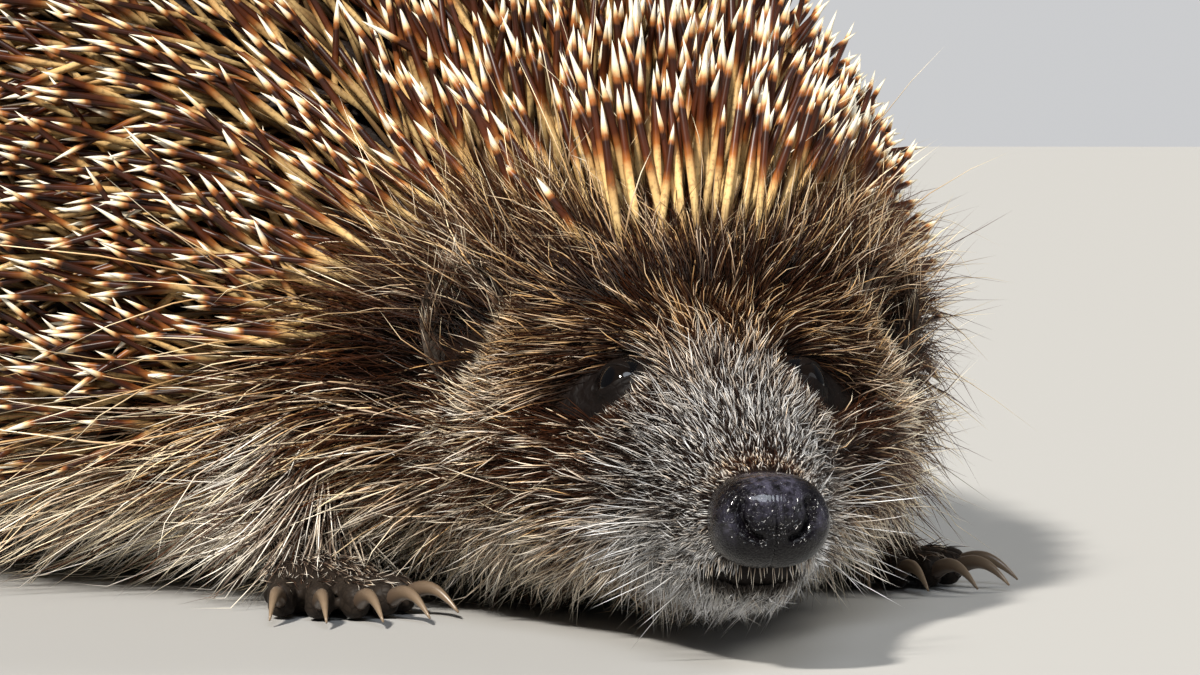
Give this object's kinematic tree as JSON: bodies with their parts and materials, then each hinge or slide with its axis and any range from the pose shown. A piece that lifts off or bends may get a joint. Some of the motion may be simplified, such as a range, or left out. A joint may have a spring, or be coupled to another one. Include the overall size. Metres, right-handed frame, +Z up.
{
  "type": "hedgehog",
  "caption": "Still, life-size European hedgehog crouching on all feet, head turned to its right, back spines half raised.",
  "frame": {"origin": "on the floor under the middle of the whole animal's box", "axes": "+Z up; the head end faces -Y and the tail end +Y; the animal's right side is -X"},
  "size_m": [0.1272, 0.2254, 0.1056],
  "materials": {
    "spines": "dense coat of banded keratin spines",
    "fur": "coarse brown fur",
    "pale_fur": "coarse pale fur",
    "nose": "wet black skin",
    "ear": "thin bare skin",
    "foot": "bare wrinkled skin",
    "eye": "wet black",
    "claw": "horn"
  },
  "bodies": {
    "root": {"back": "spines", "belly": "pale_fur", "claw_fore_left_1": "claw", "claw_fore_left_2": "claw", "claw_fore_left_3": "claw", "claw_fore_left_4": "claw", "claw_fore_left_5": "claw", "claw_fore_right_1": "claw", "claw_fore_right_2": "claw", "claw_fore_right_3": "claw", "claw_fore_right_4": "claw", "claw_fore_right_5": "claw", "claw_hind_left_1": "claw", "claw_hind_left_2": "claw", "claw_hind_left_3": "claw", "claw_hind_left_4": "claw", "claw_hind_left_5": "claw", "claw_hind_right_1": "claw", "claw_hind_right_2": "claw", "claw_hind_right_3": "claw", "claw_hind_right_4": "claw", "claw_hind_right_5": "claw", "ear_left": "ear", "ear_right": "ear", "eye_left": "eye", "eye_right": "eye", "forefoot_left": "foot", "forefoot_right": "foot", "foreleg_left": "fur", "foreleg_right": "fur", "head": "fur", "hindfoot_left": "foot", "hindfoot_right": "foot", "hindleg_left": "fur", "hindleg_right": "fur", "lower_jaw": "pale_fur", "muzzle": "fur", "neck": "fur", "nose": "nose", "tail": "fur"}
  },
  "joints": []
}
